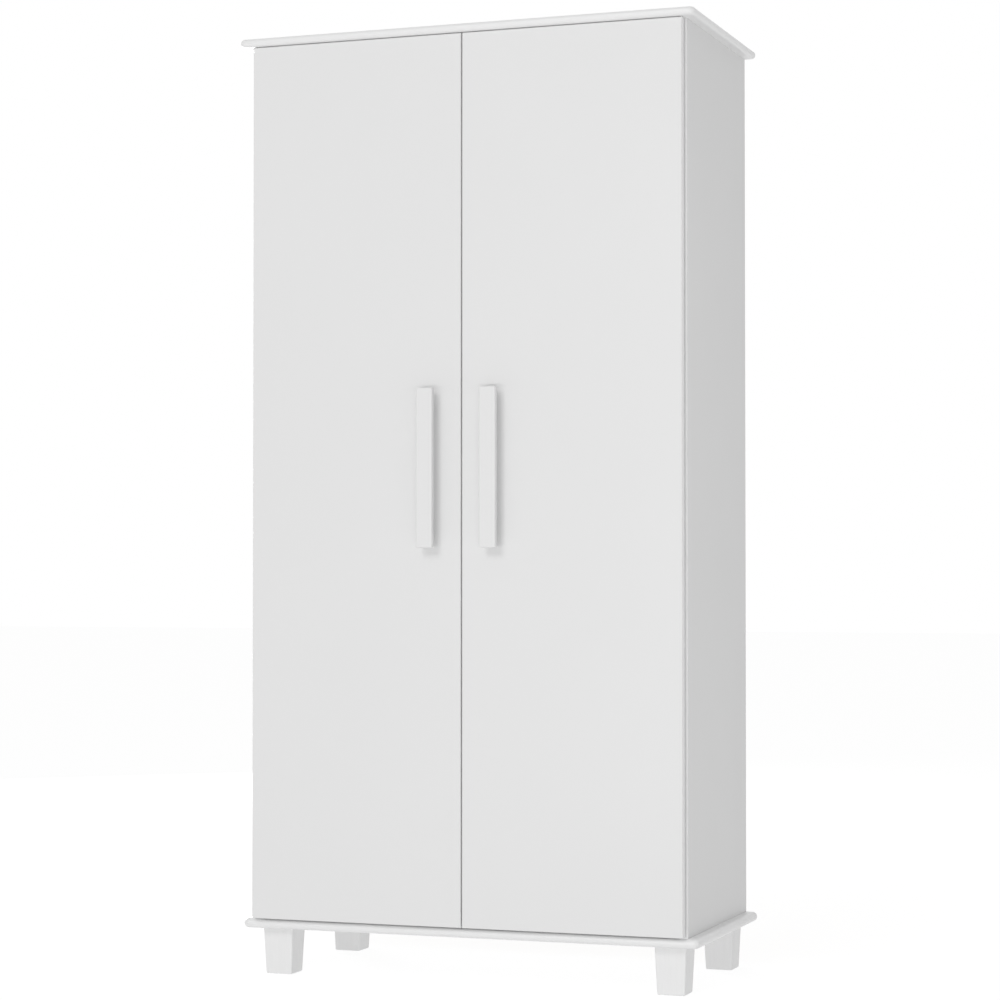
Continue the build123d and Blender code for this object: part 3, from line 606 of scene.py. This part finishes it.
def nail_tree():
    """Nails along the edges of a wire outline, each a little off its line."""
    head_sides, shank_sides = 16, 8
    head_sizes = ["Head Radius", "Crown Radius", "Proud"]
    sizes = ["Spacing", *head_sizes, "Shank Radius", "Shank Length", "Wander", "Seed"]
    tree, given = piece_tree("back_nails", sizes)
    wander = given["Wander"]
    line = add(tree, "GeometryNodeMeshToCurve", {"Mesh": given["Geometry"]}).outputs[0]
    spaced = {"Curve": line, "Length": given["Spacing"]}
    row = add(tree, "GeometryNodeResampleCurve", spaced, mode="LENGTH").outputs[0]
    back = add(tree, MATH, {0: wander, 1: -1.0}, operation="MULTIPLY").outputs[0]
    lowest = add(tree, COMBINE, {0: back, 2: back}).outputs[0]
    highest = add(tree, COMBINE, {0: wander, 2: wander}).outputs[0]
    reach = {"Min": lowest, "Max": highest, "Seed": given["Seed"]}
    stray = add(tree, "FunctionNodeRandomValue", reach, data_type="FLOAT_VECTOR").outputs[0]
    strayed = add(tree, "GeometryNodeSetPosition", {"Geometry": row, "Offset": stray}).outputs[0]
    crown, head_radius, proud = given["Crown Radius"], given["Head Radius"], given["Proud"]
    cone = {"Vertices": head_sides, "Radius Top": crown, "Radius Bottom": head_radius, "Depth": proud}
    head = add(tree, "GeometryNodeMeshCone", cone).outputs[0]
    shank = hung_rod(tree, given["Shank Radius"], given["Shank Length"], shank_sides)
    nail = add(tree, "GeometryNodeJoinGeometry", {"Geometry": [head, shank]}).outputs[0]
    end_tree(tree, given, strayed, nail, (-math.pi / 2, 0.0, 0.0))
    return tree


def points_object(name, places, facings=(), towards=(), edges=()):
    """Points, or a wire outline, with the directions that the pieces on them face."""
    mesh = bpy.data.meshes.new(name)
    mesh.from_pydata(places, edges, [])
    for attribute, directions in (("facing", facings), ("towards", towards)):
        if directions:
            stored = mesh.attributes.new(attribute, "FLOAT_VECTOR", "POINT")
            stored.data.foreach_set("vector", [value for direction in directions for value in direction])
    holder = bpy.data.objects.new(name, mesh)
    bpy.context.scene.collection.objects.link(holder)
    return holder


def grow(holder, tree, sizes, finish, body, replaced=()):
    """Runs a tree on an object, keeps the result as its plain mesh and lets it ride on a body.

    The finish names both the material and the slot.
    """
    sharp_from = math.radians(35)
    modifier = holder.modifiers.new(tree.name, "NODES")
    modifier.node_group = tree
    given = {**sizes, "Material": bpy.data.materials[finish]}
    for item in tree.interface.items_tree:
        if item.in_out == "INPUT" and item.name in given:
            modifier[item.identifier] = given[item.name]
    depsgraph = bpy.context.evaluated_depsgraph_get()
    mesh = bpy.data.meshes.new_from_object(holder.evaluated_get(depsgraph), depsgraph=depsgraph)
    if not mesh.polygons:
        raise RuntimeError(f"{holder.name} has no faces")
    mesh.shade_smooth()
    mesh.set_sharp_from_angle(angle=sharp_from)
    holder.modifiers.remove(modifier)
    holder.data = mesh
    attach(holder, body)
    if replaced:
        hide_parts(*replaced)


def screw_sizes(diameter, height, length, fasteners):
    """Sizes of a screw from its head's diameter and height and its shank's length."""
    return {
        "Head Radius": diameter / 2,
        "Head Height": height,
        "Recess Length": diameter * fasteners.recess_share,
        "Recess Width": fasteners.recess_width,
        "Shank Radius": diameter / 2 * fasteners.shank_share,
        "Shank Length": length,
    }


def set_screws(tree, name, places, facing, sizes, body, replaced=()):
    """Screws of one size at places, with heads that face a direction."""
    holder = points_object(name, places, [facing] * len(places), [UPWARDS] * len(places))
    grow(holder, tree, sizes, "zinc_plated_steel", body, replaced)


def screws_in_place_of(node, tree, name, facing, height, fasteners):
    """Detailed screws in the place of a CAD node of plain ones, whose heads face a direction."""
    boxes = solid_boxes(node)
    along = max(range(3), key=lambda axis: abs(facing[axis]))
    low, high = boxes[0]
    sizes = screw_sizes(high.z - low.z, height, (high - low)[along] - height, fasteners)
    places = [outer_point(box, facing) - facing * height for box in boxes]
    set_screws(tree, name, places, facing, sizes, NODES[node]["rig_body"], [node])


# Operators


class FinishBoards(bpy.types.Operator):
    """Gives the laminated boards their white melamine faces, taped edges and raw bores"""

    bl_idname = "pantry.finish_boards"
    bl_label = "Finish boards"

    def execute(self, context):
        for name in MELAMINE_NODES:
            paint([name], melamine_faced_chipboard(name, context.scene.pantry_colours))
        return {"FINISHED"}


class FinishWood(bpy.types.Operator):
    """Gives the top and base boards and the legs their white lacquer over wood"""

    bl_idname = "pantry.finish_wood"
    bl_label = "Finish wood"

    def execute(self, context):
        colours = context.scene.pantry_colours
        boards = lacquered_wood("lacquered_wood_lengthways", 0, colours.board_lacquer, colours.board_grain)
        legs = lacquered_wood("lacquered_wood_upright", 2, colours.leg_lacquer, colours.leg_grain)
        paint(LONG_GRAIN_NODES, boards)
        paint(UPRIGHT_GRAIN_NODES, legs)
        return {"FINISHED"}


class FinishBack(bpy.types.Operator):
    """Gives the back sheets a white inner face and a raw outer one"""

    bl_idname = "pantry.finish_back"
    bl_label = "Finish back sheets"

    def execute(self, context):
        for name in HARDBOARD_NODES:
            paint([name], screen_backed_hardboard(name, context.scene.pantry_colours))
        return {"FINISHED"}


class FinishHandles(bpy.types.Operator):
    """Gives the handles their moulded finish"""

    bl_idname = "pantry.finish_handles"
    bl_label = "Finish handles"

    def execute(self, context):
        paint(HANDLE_NODES, moulded_abs(context.scene.pantry_colours))
        return {"FINISHED"}


class FinishFittings(bpy.types.Operator):
    """Gives hinges, pins, bolts, inserts and dowels their metal and wood"""

    bl_idname = "pantry.finish_fittings"
    bl_label = "Finish fittings"

    def execute(self, context):
        colours = context.scene.pantry_colours
        paint(NICKEL_NODES, nickel_plated_steel(colours))
        paint(CAST_NODES, zinc_casting(colours))
        paint(ZINC_NODES, zinc_plated_steel(colours))
        paint(["dowels"], turned_beech(colours))
        return {"FINISHED"}


class DriveScrews(bpy.types.Operator):
    """Puts cross-recessed screws in hinge plates, cups and handles, and adjusters on the hinge arms"""

    bl_idname = "pantry.drive_screws"
    bl_label = "Drive screws"

    def execute(self, context):
        fasteners = context.scene.pantry_fasteners
        tree = screw_tree()
        height, length = fasteners.adjuster_height, fasteners.adjuster_length
        adjuster_sizes = screw_sizes(fasteners.adjuster, height, length, fasteners)
        for side, hand in SIDES.items():
            from_panel = Vector((-hand, 0, 0))
            heads = {
                "hinge_plate_screws": ("plate_fixings", from_panel, fasteners.hinge_head_height),
                "hinge_cup_screws": ("cup_fixings", REARWARDS, fasteners.hinge_head_height),
                "handle_screws": ("handle_fixings", REARWARDS, fasteners.handle_head_height),
            }
            for node, (name, facing, head_height) in heads.items():
                screws_in_place_of(f"{side}_{node}", tree, f"{side}_{name}", facing, head_height, fasteners)
            places = []
            for low, high in solid_boxes(f"{side}_hinge_arms"):
                crest = low.x if hand > 0 else high.x
                for inset in (fasteners.rear_adjuster, fasteners.front_adjuster):
                    places.append((crest, high.y - inset, (low.z + high.z) / 2))
            set_screws(tree, f"{side}_hinge_adjusters", places, from_panel, adjuster_sizes, CASE)
        return {"FINISHED"}


class SetCams(bpy.types.Operator):
    """Puts slotted cam locks in the place of the plain ones"""

    bl_idname = "pantry.set_cams"
    bl_label = "Set cam locks"

    def execute(self, context):
        level = 0.1 * MM
        fasteners = context.scene.pantry_fasteners
        bolts = [(low + high) / 2 for low, high in solid_boxes("cam_bolts")]
        shelf_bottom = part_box("fixed_shelf")[0].z
        boxes = solid_boxes("cam_locks")
        places, facings, towards = [], [], []
        for box in boxes:
            middle = (box[0] + box[1]) / 2
            bolt = min(bolts, key=lambda place: (place - middle).length) - middle
            axis = max(range(3), key=lambda number: abs(bolt[number]))
            to_bolt = Vector((0, 0, 0))
            to_bolt[axis] = math.copysign(1, bolt[axis])
            in_shelf = abs(box[0].z - shelf_bottom) < level
            facing = DOWNWARDS if in_shelf else Vector((-math.copysign(1, middle.x), 0, 0))
            places.append(outer_point(box, facing))
            facings.append(facing)
            towards.append(to_bolt)
        length, _width, diameter = sorted(boxes[0][1] - boxes[0][0])
        sizes = {
            "Radius": diameter / 2,
            "Length": length,
            "Slot Length": diameter * fasteners.cam_slot_share,
            "Slot Width": fasteners.cam_slot,
            "Slot Depth": fasteners.cam_slot_depth,
            "Pocket Radius": fasteners.cam_pocket / 2,
            "Pocket Depth": fasteners.cam_pocket_depth,
        }
        holder = points_object("slotted_cam_locks", places, facings, towards)
        grow(holder, cam_tree(), sizes, "zinc_casting", CASE, ["cam_locks"])
        return {"FINISHED"}


class DriveNails(bpy.types.Operator):
    """Nails the back sheets to the rear edges of the case"""

    bl_idname = "pantry.drive_nails"
    bl_label = "Drive nails"

    def execute(self, context):
        fasteners = context.scene.pantry_fasteners
        side_low, side_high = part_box("right_side")
        shelf_low, shelf_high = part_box("fixed_shelf")
        half = (side_low.x + side_high.x) / 2
        # Rows lie halfway between a sheet's end and the inner face of the board that it is nailed to
        inner_faces = {"lower_back": (side_low.z, shelf_low.z), "upper_back": (shelf_high.z, side_high.z)}
        places, edges = [], []
        for name in HARDBOARD_NODES:
            low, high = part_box(name)
            lower_face, upper_face = inner_faces[name]
            bottom, top = (low.z + lower_face) / 2, (high.z + upper_face) / 2
            first = len(places)
            corners = ((-half, bottom), (half, bottom), (half, top), (-half, top))
            places += [(x, high.y, z) for x, z in corners]
            edges += [(first + corner, first + (corner + 1) % 4) for corner in range(4)]
        sizes = {
            "Spacing": fasteners.nail_spacing,
            "Head Radius": fasteners.nail_head / 2,
            "Crown Radius": fasteners.nail_crown / 2,
            "Proud": fasteners.nail_proud,
            "Shank Radius": fasteners.nail_shank / 2,
            "Shank Length": fasteners.nail_length,
            "Wander": fasteners.nail_wander,
            "Seed": float(fasteners.nail_seed),
        }
        holder = points_object("back_nails", places, edges=edges)
        grow(holder, nail_tree(), sizes, "zinc_plated_steel", CASE)
        return {"FINISHED"}


class PressStops(bpy.types.Operator):
    """Puts domed rubber stops in the place of the plain ones"""

    bl_idname = "pantry.press_stops"
    bl_label = "Press on door stops"

    def execute(self, context):
        rings, segments, same_point, sharp_from = 8, 32, 0.005 * MM, math.radians(50)
        wall_share = context.scene.pantry_fasteners.stop_wall
        mesh = bpy.data.meshes.new("domed_door_stops")
        made = bmesh.new()
        for low, high in solid_boxes("door_stops"):
            radius, height = (high.x - low.x) / 2, high.y - low.y
            seat = Vector(((low.x + high.x) / 2, high.y, (low.z + high.z) / 2))
            wall = height * wall_share
            profile = [(0.0, 0.0), (radius, 0.0)]
            for step in range(rings + 1):
                angle = step / rings * math.pi / 2
                profile.append((radius * math.cos(angle), wall + (height - wall) * math.sin(angle)))
            loop = [made.verts.new((across, -up, 0.0)) for across, up in profile]
            lines = [made.edges.new(pair) for pair in zip(loop, loop[1:])]
            turn = {"cent": (0, 0, 0), "axis": (0, 1, 0), "angle": 2 * math.pi, "steps": segments}
            bmesh.ops.spin(made, geom=loop + lines, **turn)
            # Stops that are already in their places carry a tag
            fresh = [vertex for vertex in made.verts if not vertex.tag]
            bmesh.ops.translate(made, verts=fresh, vec=seat)
            for vertex in fresh:
                vertex.tag = True
        bmesh.ops.remove_doubles(made, verts=made.verts, dist=same_point)
        bmesh.ops.recalc_face_normals(made, faces=made.faces)
        made.to_mesh(mesh)
        made.free()
        mesh.shade_smooth()
        mesh.set_sharp_from_angle(angle=sharp_from)
        mesh.materials.append(clear_rubber(context.scene.pantry_colours))
        stops = bpy.data.objects.new("domed_door_stops", mesh)
        context.scene.collection.objects.link(stops)
        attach(stops, CASE)
        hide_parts("door_stops")
        return {"FINISHED"}


class SetStage(bpy.types.Operator):
    """Sets the floor, the light and the camera"""

    bl_idname = "pantry.set_stage"
    bl_label = "Set stage"

    def execute(self, context):
        stage = context.scene.pantry_stage
        self.lay_floor(context, stage)
        self.light_room(context, stage)
        self.hang_lamps(context, stage)
        self.place_camera(context, stage)
        context.scene.view_settings.view_transform = "Standard"
        return {"FINISHED"}

    def white_when_seen(self, tree, thrown, seen):
        """Strength of a white light: one for what it throws, one for the camera, mirrors and glass."""
        path = add(tree, "ShaderNodeLightPath").outputs
        mirrored = {0: path["Is Camera Ray"], 1: path["Is Glossy Ray"]}
        direct = add(tree, MATH, mirrored, operation="MAXIMUM").outputs[0]
        through_glass = {0: direct, 1: path["Is Transmission Ray"]}
        looked_at = add(tree, MATH, through_glass, operation="MAXIMUM").outputs[0]
        return add(tree, MAP_RANGE, {"Value": looked_at, "To Min": thrown, "To Max": seen}).outputs[0]

    def lay_floor(self, context, stage):
        """A floor that is white to the camera and still takes a faint shadow."""
        far = FLOOR_REACH
        corners = [(-far, -far, 0), (far, -far, 0), (far, far, 0), (-far, far, 0)]
        mesh = bpy.data.meshes.new("floor")
        mesh.from_pydata(corners, [], [(0, 1, 2, 3)])
        floor = bpy.data.objects.new("floor", mesh)
        context.scene.collection.objects.link(floor)
        material, tree = new_material("pale_floor")
        strength = self.white_when_seen(tree, stage.floor_light, stage.floor_white)
        glow = add(tree, "ShaderNodeEmission", {"Strength": strength})
        matt = add(tree, "ShaderNodeBsdfDiffuse", {"Color": stage.floor_paint})
        both = add(tree, "ShaderNodeAddShader", {0: glow.outputs[0], 1: matt.outputs[0]})
        add(tree, "ShaderNodeOutputMaterial", {"Surface": both.outputs[0]})
        mesh.materials.append(material)

    def light_room(self, context, stage):
        """Light from all round, most of it from above."""
        world = bpy.data.worlds.new("studio")
        context.scene.world = world
        world.use_nodes = True
        tree = world.node_tree
        tree.nodes.clear()
        # The ceiling's share grows with the square of the height that a ray points to
        aim = add(tree, COORDINATES).outputs["Generated"]
        rise = add(tree, SEPARATE, {0: aim}).outputs["Z"]
        ceiling = add(tree, MATH, {0: rise, 1: rise}, operation="MULTIPLY").outputs[0]
        from_above = {0: ceiling, 1: stage.overhead, 2: stage.sky}
        thrown = add(tree, MATH, from_above, operation="MULTIPLY_ADD").outputs[0]
        strength = self.white_when_seen(tree, thrown, 1.0)
        sky = add(tree, "ShaderNodeBackground", {"Color": linear("#FFFFFF"), "Strength": strength})
        add(tree, "ShaderNodeOutputWorld", {"Surface": sky.outputs[0]})

    def hang_lamps(self, context, stage):
        """The soft boxes, each aimed at its part of the cabinet."""
        for name, (place, aim, width, height) in SOFT_BOXES.items():
            lamp = bpy.data.lights.new(name, "AREA")
            lamp.shape = "RECTANGLE"
            lamp.energy = getattr(stage, name)
            lamp.size = width
            lamp.size_y = height
            holder = bpy.data.objects.new(name, lamp)
            holder.location = place
            holder.rotation_euler = (aim - place).to_track_quat("-Z", "Y").to_euler()
            context.scene.collection.objects.link(holder)

    def place_camera(self, context, stage):
        """The camera, close to where the photo's was."""
        camera = bpy.data.cameras.new("camera")
        camera.sensor_width = 36.0
        camera.lens = stage.camera_lens
        camera.shift_y = stage.camera_shift
        holder = bpy.data.objects.new("camera", camera)
        holder.location = stage.camera_place
        holder.rotation_euler = (math.pi / 2 + stage.camera_tilt, 0.0, stage.camera_turn)
        context.scene.collection.objects.link(holder)
        context.scene.camera = holder


PIECES = (
    FinishBoards,
    FinishWood,
    FinishBack,
    FinishHandles,
    FinishFittings,
    DriveScrews,
    SetCams,
    DriveNails,
    PressStops,
    SetStage,
)
SETTINGS = {
    "pantry_colours": PantryColours,
    "pantry_fasteners": PantryFasteners,
    "pantry_stage": PantryStage,
}


class PantryPanel(bpy.types.Panel):
    """Lists the finishes and pieces of the cabinet"""

    bl_idname = "VIEW3D_PT_pantry"
    bl_label = "Pantry cabinet"
    bl_space_type = "VIEW_3D"
    bl_region_type = "UI"
    bl_category = "Pantry"

    def draw(self, context):
        for name, group in SETTINGS.items():
            column = self.layout.column(heading=group.__doc__)
            for setting in group.__annotations__:
                column.prop(getattr(context.scene, name), setting)
        for piece in PIECES:
            self.layout.operator(piece.bl_idname)


def register():
    for group in (*SETTINGS.values(), *PIECES, PantryPanel):
        bpy.utils.register_class(group)
    for name, group in SETTINGS.items():
        setattr(bpy.types.Scene, name, bpy.props.PointerProperty(type=group))


def unregister():
    for name in SETTINGS:
        delattr(bpy.types.Scene, name)
    for group in reversed((*SETTINGS.values(), *PIECES, PantryPanel)):
        bpy.utils.unregister_class(group)


def main():
    """Makes the pieces and the stage in order and writes down the sizes."""
    register()
    bpy.ops.pantry.finish_boards()
    bpy.ops.pantry.finish_wood()
    bpy.ops.pantry.finish_back()
    bpy.ops.pantry.finish_handles()
    bpy.ops.pantry.finish_fittings()
    bpy.ops.pantry.drive_screws()
    bpy.ops.pantry.set_cams()
    bpy.ops.pantry.drive_nails()
    bpy.ops.pantry.press_stops()
    bpy.ops.pantry.set_stage()


if __name__ == "__main__":
    main()
